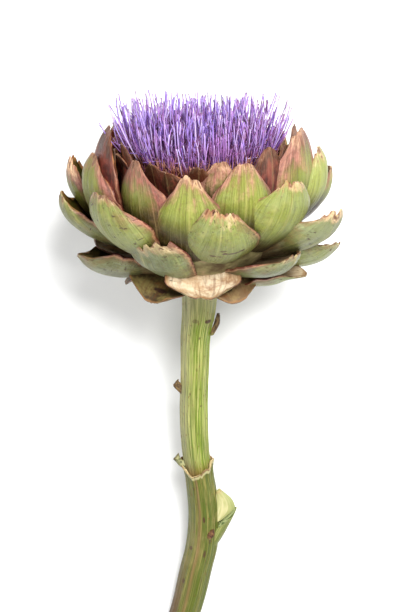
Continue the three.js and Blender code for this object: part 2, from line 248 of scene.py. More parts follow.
def outer_skin():
    s = Shader("bract_outer_skin", subsurface=0.05)
    reach, pale, warm, covered = s.shades()
    off = edge_share(s)
    lines, broad = fibres(s, 64, 2.2), fibres(s, 12, 1.1)
    own = s.stretched(1, 1, 19)
    mottle = s.noise(own, 6, 5, 0.65)
    fine = s.noise(s.place, 420, 3, 0.6)
    # Painted shade for where neighbours cover a bract: olive, then dark brown near the root, partly its
    # browner hidden skin. deep also colours the darker fibres.
    deep = s.mix(s.step(s.level, 0.2, 0.7), (88, 86, 50), (92, 88, 22))
    root = s.mix(s.step(s.level, 0.7, 0.85), (62, 36, 18), (60, 20, 14))
    shown = s.minus(s.scaled(off, -0.09, s.v), covered)
    shown = s.plus(shown, s.scaled(mottle, 0.16, -0.08))
    # Purple that grows towards the tip, most of all in the high bracts.
    cool = s.mix(s.step(mottle, 0.38, 0.64), (112, 58, 64), (178, 122, 112))
    rosy = s.mix(s.step(mottle, 0.38, 0.64), (150, 90, 88), (212, 166, 146))
    maroon = s.mix(s.step(mottle, 0.4, 0.64), (66, 20, 22), (136, 58, 50))
    pale_line = s.mix(s.step(warm, 0.1, -0.8), (214, 172, 150), (158, 88, 76))
    purple = s.layers(
        s.mix(s.step(warm, -0.4, 0.8), cool, rosy),
        (warm, 0.1, -0.8, 0.9, maroon),
        (lines, 0.5, 0.68, 0.45, pale_line),
        (lines, 0.48, 0.36, 0.5, (108, 50, 54)),
        (s.level, 0.9, 1, 1, (96, 42, 34)),
    )
    start = s.scaled(reach, -0.42, s.scaled(s.level, -1.5, 1.66))
    wobble = s.scaled(broad, -0.3, s.plus(s.scaled(mottle, 0.5, -0.25), 0.15))
    side = s.scaled(s.math("POWER", off, 4), 0.5, -0.08)
    purple_place = s.minus(s.plus(s.plus(s.v, wobble), side), start)
    # Tan, drying tips and margins.
    tip_wobble = s.scaled(s.noise(own, 9, 4, 0.65), 0.34, -0.17)
    tip = s.plus(s.v, s.scaled(broad, -0.2, s.plus(tip_wobble, 0.1)))
    tan_place = s.minus(tip, s.scaled(s.torn, -0.06, 0.93))
    tan = s.mix(s.step(mottle, 0.35, 0.6), (184, 132, 104), (236, 208, 172))
    tan_low = s.scaled(s.step(s.level, 0.25, 0.45), 0.45, 0.4)
    tan_warm = s.scaled(s.step(warm, 0.1, -0.5), -0.7, 1)
    edge = s.plus(off, s.scaled(s.noise(own, 16, 4, 0.65), 0.12, -0.06))
    body = s.layers(
        # Green, greyer in the low bracts and yellower in the high ones, with painted shade low down.
        s.mix(s.step(s.level, 0.25, 0.6), (126, 132, 92), (146, 152, 72)),
        (s.noise(s.place, 60, 4, 0.6), 0.42, 0.66, 0.4, (158, 168, 112)),
        (pale, 0, 1, 0.4, (190, 198, 124)),
        (pale, 0.1, -0.9, 0.6, (104, 96, 52)),
        (mottle, 0.5, 0.72, 0.35, (188, 180, 118)),
        # Painted shade up to where the neighbours cover the bract, partly its browner hidden skin.
        (shown, 0.2, -0.02, 0.85, deep),
        (shown, 0.07, -0.08, 0.85, root),
        (broad, 0.5, 0.32, 0.3, deep),
        (broad, 0.52, 0.7, 0.14, (186, 178, 120)),
        (lines, 0.5, 0.34, 0.4, deep),
        (lines, 0.54, 0.72, 0.24, (196, 186, 134)),
        # A bloom of grey wax on the lower bracts.
        (s.noise(own, 3.2, 5, 0.7), 0.42, 0.66, 0.5, (162, 168, 136), s.step(s.level, 0.72, 0.3)),
        # A brown blush in clouds, strongest along the margins.
        (s.scaled(off, 0.2, s.noise(own, 2.7, 5, 0.68)), 0.6, 0.76, 0.5, (138, 110, 76)),
        (purple_place, -0.04, 0.26, 0.9, purple),
        (tan_place, 0, 0.12, tan_warm, tan, tan_low),
        (s.noise(own, 12, 4, 0.7), 0.53, 0.64, 0.8, (104, 60, 40), s.step(tip, 0.86, 1)),
        (edge, 0.8, 0.93, 0.4, (126, 88, 70)),
        (edge, 0.91, 0.96, 0.45, (206, 156, 126)),
        (edge, 0.955, 1, 0.95, (104, 46, 34)),
        (tip, 0.975, 1.02, 0.75, (112, 66, 44)),
        (edge, 0.82, 0.92, 0.85, (216, 150, 110), s.step(s.level, 0.8, 0.86)),
    )
    # Small brown scars on the lower bracts.
    scarred = s.times(s.step(s.noise(own, 2.2, 2, 0.5), 0.42, 0.58), s.step(s.level, 0.54, 0.47))
    specks = s.step(s.noise(s.stretched(14, 30, 11), 1, 3, 0.6), 0.61, 0.67)
    scars = s.times(specks, scarred)
    body = s.over(body, scars, 0.85, (84, 50, 32))
    body = bract_spots(s, body, FRONT_MARKS, FRONT_BRACT, (92, 52, 32))
    body = s.layers(
        body,
        (fine, 0.54, 0.7, 0.3, (112, 92, 56)),
        # The midrib shows as a paler line.
        (off, 0.045, 0, 0.14, (222, 206, 150), s.step(s.v, 0.3, 0.6)),
    )
    height = s.plus(s.times(lines, 0.9), s.times(mottle, 0.9))
    for value, share in ((broad, 0.8), (fine, 0.3), (scars, -0.5)):
        height = s.scaled(value, share, height)
    return s.finish(body, height, distance=0.0008, strength=0.9, roughness=s.scaled(mottle, 0.3, 0.3))


def inner_skin():
    s = Shader("bract_inner_skin", roughness=0.55, subsurface=0.03, specular=0.3)
    paleness = s.shades()[1]
    lines = fibres(s, 40, 2)
    own = s.stretched(1, 1, 23)
    mottle = s.noise(own, 4, 5, 0.65)
    pale = s.mix(s.step(mottle, 0.38, 0.6), (178, 156, 126), (222, 212, 188))
    olive = s.mix(s.step(mottle, 0.4, 0.62), (74, 60, 34), (128, 116, 74))
    leafy = s.mix(s.step(mottle, 0.42, 0.62), (84, 92, 30), (140, 116, 58))
    dark = s.mix(s.step(mottle, 0.4, 0.62), (76, 30, 26), (150, 84, 62))
    body = s.layers(
        # Pale or olive in the low bracts, leafy in the cupped ones, dark in the high ones.
        s.mix(s.step(paleness, -0.1, 0.6), olive, pale),
        (paleness, -0.8, -0.3, 0.4, (164, 136, 104)),
        (s.level, 0.3, 0.4, 1, leafy),
        (s.level, 0.5, 0.64, 1, dark),
        (lines, 0.52, 0.34, 0.45, (104, 68, 40)),
        (s.noise(own, 2.6, 5, 0.7), 0.54, 0.68, 0.6, (128, 86, 50)),
        # Painted shade: the hidden lower part of the inner face darkens towards the root, all the more in
        # the high bracts.
        (s.v, 0.86, 0.4, 0.9, (46, 16, 10), s.step(s.level, 0.12, 0.3)),
        (s.noise(own, 3.6, 3, 0.6), 0.64, 0.72, 0.8, (58, 38, 24)),
    )
    body = bract_spots(s, body, INNER_MARKS, STAINED_BRACT, (58, 30, 26))
    rim = s.mix(s.step(s.level, 0.3, 0.6), (150, 116, 78), (206, 156, 104))
    edge = s.math("MAXIMUM", edge_share(s), s.scaled(s.v, 2.4, -1.4))
    edge = s.scaled(mottle, 0.16, s.plus(edge, -0.08))
    body = s.layers(body, (edge, 0.86, 0.95, 0.75, rim), (edge, 0.97, 1.02, 0.8, (110, 66, 42)))
    return s.finish(body, s.plus(lines, mottle), distance=0.0005, strength=0.8)


def grainy_skin(name, roughness, grain, distance, *stops):
    """A skin whose colour and bumps follow one noise."""
    s = Shader(name, roughness=roughness)
    pattern = s.noise(s.place, *grain)
    return s.finish(s.ramp(pattern, *stops), pattern, distance=distance)


def floret_skin(name, stops, pale, deep):
    """Threads whose colour runs along them, some of them paler and some deeper."""
    s = Shader(name, roughness=0.42)
    body = s.ramp(s.v, *stops)
    colour = s.layers(
        body,
        (s.chance, 0.4, 0, 1, deep),
        (s.chance, 0.55, 1, 0.75, pale),
        (s.v, 0.3, 0.05, 1, body),
        (s.noise(s.place, 60, 2, 0.5), 0.46, 0.62, 0.45, (190, 130, 178)),
        (s.v, 0.9, 1, 0.8, (112, 60, 80), s.step(s.torn, 0.6, 0.75)),
    )
    grain = s.noise(s.stretched(4, 60, 1), 1, 2, 0.5)
    return s.finish(colour, grain, distance=0.00005)


def bristle_skin():
    s = Shader("floret_bristles", roughness=0.6, specular=0.25)
    colour = s.ramp(s.v, (0, (70, 32, 26)), (0.5, (134, 78, 62)), (1, (208, 160, 132)))
    colour = s.layers(colour, (s.chance, 0.6, 1, 0.6, (150, 90, 130)))
    return s.finish(colour, s.noise(s.place, 900, 3, 0.5), distance=0.0001)


# Marks on the stalk: across from -1 to 1, share of the length, their half sizes and strength.
STALK_MARKS = (
    (0.6, 0.104, 0.2, 0.006, 0.9), (-0.15, 0.101, 0.24, 0.006, 0.5), (0.25, 0.15, 0.06, 0.004, 0.7),
    (-0.3, 0.31, 0.06, 0.005, 0.6), (0.5, 0.345, 0.07, 0.003, 0.6), (0.1, 0.24, 0.05, 0.006, 0.5),
    (0.02, 0.675, 0.09, 0.01, 0.9), (0.2, 0.775, 0.1, 0.011, 0.8), (-0.7, 0.762, 0.1, 0.006, 0.8),
    (-0.68, 0.86, 0.09, 0.008, 0.8), (0.45, 0.73, 0.1, 0.02, 0.6), (-0.5, 0.585, 0.06, 0.006, 0.5),
)


def stalk_skin():
    """The ring of the stalk comes in the tone: cosine, sine, and 1 on the sheath."""
    s = Shader("stalk_skin", roughness=0.45, subsurface=0.04)
    cosine, sine, sheath = s.scaled(s.level, 2, -1), s.scaled(s.chance, 2, -1), s.torn
    ring = s.vector(cosine, sine, s.times(s.v, 0.35))
    bands = s.noise(ring, 5, 3, 0.6)
    middle = s.noise(ring, 12, 2, 0.5)
    fine = s.noise(ring, 27, 2, 0.5)
    patches = s.noise(s.place, 70, 4, 0.6)
    pale = s.mix(sheath, (178, 178, 116), (134, 130, 72))
    cream = s.mix(sheath, (166, 158, 130), (112, 108, 76))
    line = s.mix(sheath, (204, 200, 138), (162, 154, 96))
    front = s.step(sine, 0, -0.3)
    stripe = s.math("ABSOLUTE", s.plus(s.scaled(bands, 0.4, cosine), 0.05))
    body = s.layers(
        s.mix(sheath, (130, 152, 42), (98, 108, 42)),
        (bands, 0.49, 0.57, 0.7, pale),
        (middle, 0.53, 0.57, 0.7, pale),
        (middle, 0.46, 0.42, 0.55, (100, 116, 36)),
        (cosine, 0, -0.7, s.scaled(sheath, -0.4, 0.65), cream),
        (s.v, 0.14, 0.03, 0.55, (204, 196, 156)),
        (fine, 0.54, 0.62, 0.62, line),
        (fine, 0.47, 0.4, 0.65, (102, 118, 36)),
        (patches, 0.5, 0.72, 0.3, (178, 160, 116)),
        # A rosy stripe down the sheath, a dusky side, a pale torn rim and a brown base inside it.
        (stripe, 0.16, 0.03, 0.4, (168, 124, 98), front, sheath),
        (cosine, -0.5, -0.8, 0.65, (112, 66, 52), s.step(s.v, 0.72, 0.96)),
        (s.scaled(patches, 0.2, s.u), 0.34, 0.24, 0.8, (204, 196, 152), sheath),
        (s.u, 0.05, 0.02, 0.8, (118, 84, 50), sheath),
        (s.v, 0.5, 0.55, 0.75, (126, 88, 44), s.minus(1, sheath)),
    )
    # Brown specks, and the larger marks.
    grid = s.vector(cosine, sine, s.times(s.v, 12))
    specks = s.step(s.noise(grid, 8, 3, 0.6), 0.63, 0.68)
    body = s.over(body, specks, 0.7, (132, 88, 50))
    body = spots(s, body, STALK_MARKS, cosine, front, 1.2, 0.5, (96, 66, 48))
    height = s.scaled(specks, -0.3, s.plus(s.times(bands, 0.8), fine))
    return s.finish(body, height, distance=0.0007, roughness=s.scaled(patches, 0.3, 0.3))


def torn_skin(name, dark, light):
    s = Shader(name, roughness=0.65)
    mottle = s.noise(s.stretched(1, 1, 9), 4, 5, 0.65)
    colour = s.layers(
        s.mix(s.step(mottle, 0.4, 0.62), dark, light),
        (s.v, 0.2, 0, 0.5, (148, 152, 88)),
        (s.v, 0.82, 1, 0.6, (92, 60, 36)),
    )
    return s.finish(colour, s.plus(mottle, s.noise(s.place, 700, 3, 0.6)), distance=0.0005)


def petiole_skin():
    s = Shader("leaf_stub_skin", subsurface=0.04)
    lines = s.noise(s.vector(s.times(s.u, 18), s.times(s.v, 1.2), 3), 1, 3, 0.6)
    body = s.layers(
        s.mix(s.step(lines, 0.4, 0.62), (106, 118, 54), (156, 158, 100)),
        (s.noise(s.place, 160, 3, 0.6), 0.5, 0.7, 0.4, (150, 138, 96)),
        (s.v, 0.5, 0.1, 0.6, (118, 124, 64)),
        (s.v, 0.94, 1, 0.6, (104, 96, 56)),
    )
    return s.finish(body, lines, distance=0.0005)


def hollow_skin():
    """The striped hollow where a leaf was cut."""
    s = Shader("leaf_cut", roughness=0.6)
    stripes = s.noise(s.stretched(14, 1.5, 0), 1, 2, 0.5)
    body = s.layers(
        s.mix(s.step(stripes, 0.4, 0.52), (96, 116, 62), (184, 192, 142)),
        (s.v, 0.84, 0.9, 0.6, (84, 96, 54)),
        (s.v, 0.94, 1, 0.9, (206, 202, 156)),
    )
    return s.finish(body, stripes, distance=0.0006)


def bud_skin():
    s = Shader("axil_bud_skin", subsurface=0.15)
    lines = s.noise(s.stretched(5, 1, 1), 1.6, 4, 0.6)
    colour = s.layers(
        s.mix(s.step(lines, 0.36, 0.66), (168, 168, 114), (196, 190, 148)),
        (s.u, 0.6, 0.95, 0.6, (140, 152, 96)),
        (s.v, 0.85, 1, 0.5, (174, 144, 100)),
    )
    return s.finish(colour, lines)


def cut_skin():
    """The cut face of the stalk, in rings from its middle out."""
    s = Shader("stalk_cut_face", roughness=0.6)
    out = s.math("ABSOLUTE", s.v)
    pith = s.noise(s.place, 500, 3, 0.6)
    stops = (0, (214, 214, 176)), (0.6, (200, 206, 150)), (0.8, (150, 172, 80)), (1, (120, 140, 56))
    colour = s.layers(s.ramp(out, *stops), (pith, 0.5, 0.7, 0.4, (176, 152, 100)))
    return s.finish(colour, pith, distance=0.0005)


def floor_skin():
    s = Shader("floor_paint", roughness=0.9, specular=0.1)
    grain = s.noise(s.place, 40, 3, 0.5)
    return s.finish(s.ramp(grain, (0.3, (0.86, 0.86, 0.86, 1)), (0.7, (0.9, 0.9, 0.9, 1))))


# Meshes


def ring_faces(rows, sides):
    """Quads between rings of points that follow each other."""
    faces = []
    for i in range(rows - 1):
        for j in range(sides):
            k = (j + 1) % sides
            faces.append([i * sides + j, i * sides + k, (i + 1) * sides + k, (i + 1) * sides + j])
    return faces


class Pile:
    """Collects surfaces that become one object."""

    def __init__(self):
        self.points, self.faces, self.uvs, self.tones, self.shades, self.kinds = [], [], [], [], [], []
        self.count = 0

    def add(self, points, faces, uvs, tone=(0.5, 0.5, 0.0), kinds=0, shade=None):
        """Upright points. The three tones and the four shades are for all points or for each."""
        points = laid(points.reshape(-1, 3))
        self.points.append(points)
        self.faces += [[index + self.count for index in face] for face in faces]
        self.uvs.append(uvs.reshape(-1, 2))
        self.tones.append(np.broadcast_to(np.array(tone, dtype=float), (len(points), 3)))
        if shade is not None:
            self.shades.append(np.broadcast_to(np.array(shade, dtype=float), (len(points), 4)))
        self.kinds += [kinds] * len(faces) if isinstance(kinds, int) else kinds
        self.count += len(points)

    def build(self, name, materials, node, sharp=50):
        mesh = bpy.data.meshes.new(name)
        mesh.from_pydata(np.concatenate(self.points).tolist(), [], self.faces)
        layer = mesh.uv_layers.new(name="UVMap")
        corners = np.empty(len(mesh.loops), dtype=np.int32)
        mesh.loops.foreach_get("vertex_index", corners)
        layer.data.foreach_set("uv", np.concatenate(self.uvs)[corners].astype(np.float32).ravel())
        tones = np.concatenate(self.tones)
        stored = {"tone": np.concatenate([tones, np.ones((len(tones), 1))], axis=1)}
        if self.shades:
            stored["shade"] = np.concatenate(self.shades)
        for title, values in stored.items():
            attribute = mesh.color_attributes.new(name=title, type="FLOAT_COLOR", domain="POINT")
            attribute.data.foreach_set("color", values.astype(np.float32).ravel())
        for material in materials:
            mesh.materials.append(material)
        mesh.polygons.foreach_set("material_index", np.array(self.kinds, dtype=np.int32))
        mesh.polygons.foreach_set("use_smooth", np.ones(len(mesh.polygons), dtype=bool))
        mesh.set_sharp_from_angle(angle=math.radians(sharp))
        mesh.validate()
        mesh.update()
        piece = bpy.data.objects.new(name, mesh)
        bpy.context.scene.collection.objects.link(piece)
        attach(piece, "root")
        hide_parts(node)


# Bracts. The stages are those of the solid model, and the whorls too but for a few bracts.

STAGE_KEYS = (
    "level", "root_radius", "root_height", "root_slope", "tip_radius", "tip_height", "tip_slope",
    "width", "cup",
)
STAGES = np.array([
    [0.0, 12, 9, -2, 37, 0, -40, 36, 26],
    [0.2, 15, 8, 4, 61, 23, 66, 44, 48],
    [0.45, 24, 15, 24, 64, 56, 98, 47, 56],
    [0.65, 28, 16, 36, 54, 76, 110, 44, 58],
    [0.85, 34, 22, 60, 45, 79, 102, 34, 44],
    [1.0, 37, 28, 80, 41.5, 77, 93, 25, 30],
])
ROOT_THICKNESS = 3.0
TIP_THICKNESS = 1.2
OWN_SHAPE = {"widest": 0.6, "tip_share": 0.46, "roll": 8, "taper": 2.3}


def tipped(radius, height, width, **more):
    """What a bract has of its own: the place of its tip, its width and maybe more."""
    return {"tip_radius": radius, "tip_height": height, "width": width, **more}


# What the innermost bracts in front have of their own.
FRONT_INNERMOST = tipped(47, 74, 22, root_radius=38, tip_slope=52, cup=20)
# Each whorl is its name, its rows and columns and its bracts. Each bract is its azimuth, its
# level and what it has of its own.
WHORLS = [
    ("bracts_lowest", 26, 22, [
        (-100, 0, tipped(39, -4, 34)),
        (-41, 0, tipped(38.5, -2, 38, root_height=7)),
        (3, 0.02, tipped(39, 2.5, 39, root_height=15.5, root_radius=17, roll=0, tip_share=0.6)),
        (30, 0, tipped(38, -1, 30, root_height=6, tip_share=0.6, roll=0, cup=18)),
        (76, 0.1, tipped(56, 8, 40, root_height=2.5, root_slope=-16, roll=2)),
        (118, 0.03, {}), (152, 0, {}), (184, 0.03, {}), (218, 0, {}),
    ]),
    ("bracts_spreading", 36, 30, [
        (-80, 0.17, tipped(62.5, 18, 50, root_height=5, roll=-12, cup=54)),
        (-35.5, 0.24, tipped(52, 36, 50, tip_share=0.7, widest=0.7)),
        (56, 0.22, tipped(58, 26, 49, roll=0)),
        (86, 0.24, tipped(68, 24, 46, roll=34)),
        (122, 0.2, {}),
        (158.4, 0.22, tipped(66, 22, 44, cup=46.3)),
        (198.4, 0.22, tipped(66, 22, 44, cup=46.3)),
        (240, 0.2, {}),
    ]),
    ("bracts_cupped", 40, 32, [
        (-86, 0.43, tipped(68.5, 49.5, 46, roll=-2)),
        (-48, 0.48, tipped(63.5, 61, 47, roll=0, tip_share=0.56)),
        (10, 0.46, tipped(60, 57, 50, widest=0.44, tip_share=0.38, root_height=17, taper=1.35)),
        (45, 0.53, tipped(61, 68, 45, roll=14, root_height=20, root_radius=30)),
        (70, 0.4, tipped(71, 47, 52, roll=18)),
        (112, 0.43, {}), (146, 0.46, {}),
        (180, 0.46, tipped(60, 56, 45)),
        (214, 0.45, {}), (246, 0.47, {}),
    ]),
    ("bracts_upright", 40, 32, [
        (-97, 0.55, tipped(64, 63, 38, roll=-10)),
        (-70, 0.62, tipped(53.5, 74, 46, roll=4, tip_slope=122)),
        (-37, 0.68, tipped(49.5, 77, 38, tip_share=0.3)),
        (-5, 0.62, tipped(52, 72.5, 48, tip_share=0.34, widest=0.46, roll=-4, taper=1.5)),
        (25, 0.68, tipped(49, 77, 38, tip_share=0.5)),
        (71, 0.68, tipped(50, 85.5, 48, roll=14)),
        (86, 0.58, tipped(57, 72, 46, roll=16, tip_slope=124)),
        (106, 0.55, tipped(67, 56, 42)),
        (136, 0.6, {}), (166, 0.66, {}), (197, 0.62, {}), (229, 0.66, {}),
    ]),
    ("bracts_inner", 34, 24, [
        (-76, 0.75, tipped(44, 85.5, 53, tip_slope=128)),
        (-58, 0.86, tipped(44, 80, 32, tip_slope=80)),
        (-20, 0.87, tipped(48, 71, 30, tip_slope=46)),
        (13, 0.87, tipped(44, 77, 32)),
        (48.5, 0.87, tipped(44.5, 80, 32)),
        (66.5, 0.87, tipped(45, 78, 32)),
        (90, 0.84, tipped(46, 83, 36)),
        (118, 0.85, {}), (150, 0.87, {}), (182, 0.85, {}), (213, 0.87, {}), (245, 0.85, {}),
    ]),
    ("bracts_innermost", 24, 16, [
        (30 * place, 1, FRONT_INNERMOST if place in (0, 10, 11) else {}) for place in range(12)
    ]),
]
# How torn the tips of some bracts are, by whorl and place in it.
TORN = {
    (0, 1): 0.25, (0, 2): 0.45, (1, 1): 1.5, (1, 2): 0.7, (1, 3): 0.6, (2, 0): 0.5, (2, 1): 0.3,
    (2, 2): 1.1, (2, 3): 0.7, (2, 4): 0.8, (3, 0): 1.0, (3, 3): 0.4, (3, 5): 0.35,
}
# Of some bracts, how far the purple reaches, how pale they are and how warm their purple is.
SHADES = {
    (0, 0): (0, -0.4, 0), (0, 1): (0, -0.9, 0), (0, 2): (0, 0.9, 0.6), (0, 3): (0, -0.4, 0.3),
    (0, 4): (0.5, 0.5, 0.9),
    (1, 0): (0.2, -0.7, 0), (1, 1): (0, -0.1, 0), (1, 2): (0.1, 0.1, 0.4), (1, 3): (-0.2, 0.6, 0.4),
    (2, 0): (-0.1, -0.4, -0.2), (2, 1): (0.25, 0.1, 0), (2, 2): (-0.8, 0.35, 0.3), (2, 3): (-0.9, 0.2, 0.2),
    (2, 4): (-0.2, -0.3, 0.2),
    (3, 0): (0.4, -0.1, 0), (3, 1): (0, -0.3, -0.2), (3, 2): (0.05, -0.2, -0.3), (3, 3): (0, 0.2, 0.2),
    (3, 4): (-0.2, 0, 0.2), (3, 5): (0.1, 0.1, 0), (3, 6): (-0.2, 0.7, 0.8), (3, 7): (0, 0.1, 0.4),
    (4, 0): (0.7, -0.9, -1), (4, 1): (0.7, -0.7, -1), (4, 2): (0.7, -0.5, -0.8), (4, 3): (-0.65, 0, 0),
    (4, 4): (0.3, -0.4, -0.6), (4, 5): (0.6, -0.5, -0.8), (4, 6): (0.7, -0.4, -0.6),
    (5, 0): (0.9, -0.7, -1), (5, 10): (0.9, -0.7, -1), (5, 11): (0.9, -0.7, -1),
}
# The share of its length, from the root up, that a bract's neighbours cover; the outer skin is painted in
# shade there.
WHORL_COVERED = (0.1, 0.24, 0.34, 0.6, 0.7, 0.8)
COVERED = {
    (1, 1): 0.12, (1, 2): 0.2, (2, 0): 0.3, (2, 1): 0.28, (2, 2): 0.1, (2, 3): 0.3, (2, 4): 0.34,
    (3, 0): 0.5, (3, 1): 0.55, (3, 2): 0.6, (3, 3): 0.5, (3, 4): 0.5, (3, 5): 0.5, (3, 6): 0.45,
    (4, 3): 0.74,
}

BROAD = 0.9  # bracts torn this much have tips cut off broad


def stage_at(level):
    values = [np.interp(level, STAGES[:, 0], STAGES[:, column]) for column in range(len(STAGE_KEYS))]
    return {**OWN_SHAPE, **dict(zip(STAGE_KEYS, values))}


def midrib(stage, along):
    """The radius, height and slope along the middle of a bract."""
    root = np.array([stage["root_radius"], stage["root_height"]])
    tip = np.array([stage["tip_radius"], stage["tip_height"]])
    pull = 0.42 * np.linalg.norm(tip - root)
    slopes = [math.radians(stage[key]) for key in ("root_slope", "tip_slope")]
    first = root + pull * np.array([math.cos(slopes[0]), math.sin(slopes[0])])
    second = tip - pull * np.array([math.cos(slopes[1]), math.sin(slopes[1])])
    t = np.maximum(along, 0)[..., None]
    rest = 1 - t
    point = rest**3 * root + 3 * rest**2 * t * first + 3 * rest * t**2 * second + t**3 * tip
    tangent = rest**2 * (first - root) + 2 * rest * t * (second - first) + t**2 * (tip - second)
    tangent /= np.linalg.norm(tangent, axis=-1, keepdims=True)
    point = point + tangent * 2.4 * pull * np.minimum(along, 0)[..., None]
    return point[..., 0], point[..., 1], np.arctan2(tangent[..., 1], tangent[..., 0])


def outline(stage, along):
    """The share of a bract's width, along its length."""
    widest = stage["widest"]
    rise = 0.45 + 0.55 * np.sin(np.pi / 2 * np.clip(along / widest, 0, 1))
    past = np.clip((along - widest) / (1 - widest), 0, 1)
    return np.where(along < widest, rise, 1 - (1 - stage["tip_share"]) * past ** stage["taper"])


def blade(stage, azimuth, rows, columns, torn, rng):
    """The outer and inner faces of a bract as two grids of upright points, with their places."""
    across = np.linspace(-1, 1, columns + 1)
    across = np.sin(across * np.pi / 2) * 0.35 + across * 0.65
    along = 1.08 * np.linspace(0, 1, rows + 1) ** 0.8 - 0.08
    v, u = np.meshgrid(along, across, indexing="ij")
    grown = np.maximum(v, 0)

    def drift(knots):
        return wander(rng, v, knots, -0.1, 1)

    ragged = wander(rng, u, 9) * 0.5 + wander(rng, u, 23) * 0.5
    notch = np.exp(-(((u - rng.uniform(-0.25, 0.25)) / 0.13) ** 2))
    teeth = wander(rng, u, 15) * 0.6 + wander(rng, u, 31) * 0.4
    corner = 0.13 if torn < BROAD else 0.03
    bitten = torn * (0.03 * ragged + 0.03 * teeth + 0.045 * notch)
    tip_cut = 0.03 + corner * np.abs(u) ** 2.5 + bitten
    reach = v - np.maximum(tip_cut, 0) * grown**4
    radius, height, slope = midrib(stage, reach)
    wavy = 1 + 0.018 * drift(9) + 0.01 * np.sign(u) * drift(7)
    cup = math.radians(stage["cup"]) * (0.4 + 0.6 * np.minimum(1, grown / 0.4))
    arc = stage["width"] / 2 * outline(stage, v) * wavy / cup
    angle = u * cup
    thickness = (ROOT_THICKNESS + (TIP_THICKNESS - ROOT_THICKNESS) * grown) * (1 - 0.72 * np.abs(u) ** 3)
    thickness = thickness * (1 - 0.45 * smooth(v, 0.9, 1.0))
    # Gentle swells, a keel down the outer face, and margins that wave.
    swell = 0.5 * drift(7) * (1 - u * u)
    swell = swell + 0.35 * wander(rng, u, 6) * smooth(v, 0.1, 0.5)
    ripple = 0.9 * drift(8) * np.sign(u) + 0.5 * drift(12)
    ripple = ripple * np.abs(u) ** 6
    curl = rng.uniform(-1.6, 1.2) * smooth(v, 0.8, 1.05) ** 2 * (0.5 + 0.5 * torn)
    keel = 0.45 * np.exp(-((u / 0.07) ** 2)) * smooth(v, 0.3, 0.75)
    furrows = 0.1 * np.cos(u * 31 + 2.0 * drift(4)) * smooth(v, 0.15, 0.6)
    roll = math.radians(stage["roll"])
    grids = []
    for side in (-1, 1):
        off = side * thickness / 2
        inward = arc * (1 - np.cos(angle)) + off * np.cos(angle) + swell + ripple * 0.8 + curl
        if side < 0:
            inward = inward - keel + furrows
        sideways = arc * np.sin(angle) - off * np.sin(angle)
        depth = inward * math.cos(roll) - sideways * math.sin(roll)
        offset = inward * math.sin(roll) + sideways * math.cos(roll)
        outward = radius - depth * np.sin(slope)
        grids.append(np.stack([
            outward * math.sin(azimuth) + offset * math.cos(azimuth),
            -outward * math.cos(azimuth) + offset * math.sin(azimuth),
            height + depth * np.cos(slope),
        ], axis=-1))
    return np.stack(grids), u, v


def shell(rows, columns):
    """Faces of a closed thin shell of two grids, and which of them are on the inner side."""
    width = columns + 1
    half = (rows + 1) * width
    faces, kinds = [], []
    for i in range(rows):
        for j in range(columns):
            a = i * width + j
            b = half + a
            faces += [[a, a + 1, a + 1 + width, a + width], [b + 1, b, b + width, b + 1 + width]]
            kinds += [0, 1]
    for i in range(rows):
        a = i * width
        b = a + columns
        faces += [[a, a + width, half + a + width, half + a], [b + width, b, half + b, half + b + width]]
    for j in range(columns):
        a = rows * width + j
        faces += [[j + 1, j, half + j, half + j + 1], [a, a + 1, half + a + 1, half + a]]
    return faces, kinds + [0] * 2 * (rows + columns)


def make_bracts():
    skins = [outer_skin(), inner_skin()]
    number = 0
    for whorl, (name, rows, columns, bracts) in enumerate(WHORLS):
        pile = Pile()
        for place, (azimuth, level, own) in enumerate(bracts):
            number += 1
            size = 0.9 + 0.08 * draw(number)
            stage = stage_at(level)
            if own:
                stage.update(own)
            else:
                stage["tip_height"] *= size
                stage["width"] *= size
            rng = np.random.default_rng(100 + number)
            torn = TORN.get((whorl, place), 0.12 + 0.2 * draw(number + 0.5))
            points, u, v = blade(stage, math.radians(azimuth), rows, columns, torn, rng)
            faces, kinds = shell(rows, columns)
            uvs = np.stack([np.stack([(u + 1) / 2, v], axis=-1)] * 2)
            tone = level, bract_chance(number), torn
            own_shade = SHADES.get((whorl, place))
            if own_shade is None:
                own_shade = [1.2 * draw(number + step) - 0.6 for step in (0.35, 0.45, 0.55)]
            shade = [0.5 + 0.5 * value for value in own_shade]
            shade.append(COVERED.get((whorl, place), WHORL_COVERED[whorl]))
            pile.add(points, faces, uvs, tone, kinds, shade)
        pile.build(name, skins, "receptacle_and_bracts", sharp=60)


def around(radius, turn, height):
    """Points at a radius, an angle about the axis and a height."""
    return np.stack(np.broadcast_arrays(radius * np.cos(turn), radius * np.sin(turn), height), axis=-1)


def lathe(name, profile, segments, skin, node):
    """A piece turned about the head's axis, closed at both ends on the axis."""
    turn = np.linspace(*FULL_TURN, segments, endpoint=False)
    rings = [around(radius, turn, height) for radius, height in profile]
    last = (len(profile) - 1) * segments
    faces = ring_faces(len(profile), segments)
    faces += [list(range(segments))[::-1], [last + j for j in range(segments)]]
    pile = Pile()
    pile.add(np.concatenate(rings), faces, np.zeros((last + segments, 2)))
    pile.build(name, [skin], node)


def make_receptacle():
    profile = [
        (0.5, 0), (8.5, 0), (12, 2.5), (17, 5), (24, 9), (32, 15), (38, 22), (40, 31), (38.2, 33), (37, 30),
        (33, 25), (20, 21.5), (0.5, 21.5),
    ]
    stops = (0.35, (96, 80, 52)), (0.55, (142, 134, 96)), (0.7, (178, 154, 128))
    skin = grainy_skin("receptacle_skin", 0.6, (120.0, 4.0, 0.6), 0.0006, *stops)
    lathe("receptacle", profile, 96, skin, "receptacle_and_bracts")


# Florets

BED_RADIUS = 36.4
BED_HEIGHT = 68.0
GOLDEN_TURN = math.pi * (3 - math.sqrt(5))
STANDING_RADIUS = 34.0  # of the part of the bed that threads stand on
OUTER_LEAN, LEAN_SPREAD = 37, 6  # degrees


def unit(vectors):
    return vectors / np.linalg.norm(vectors, axis=1, keepdims=True)


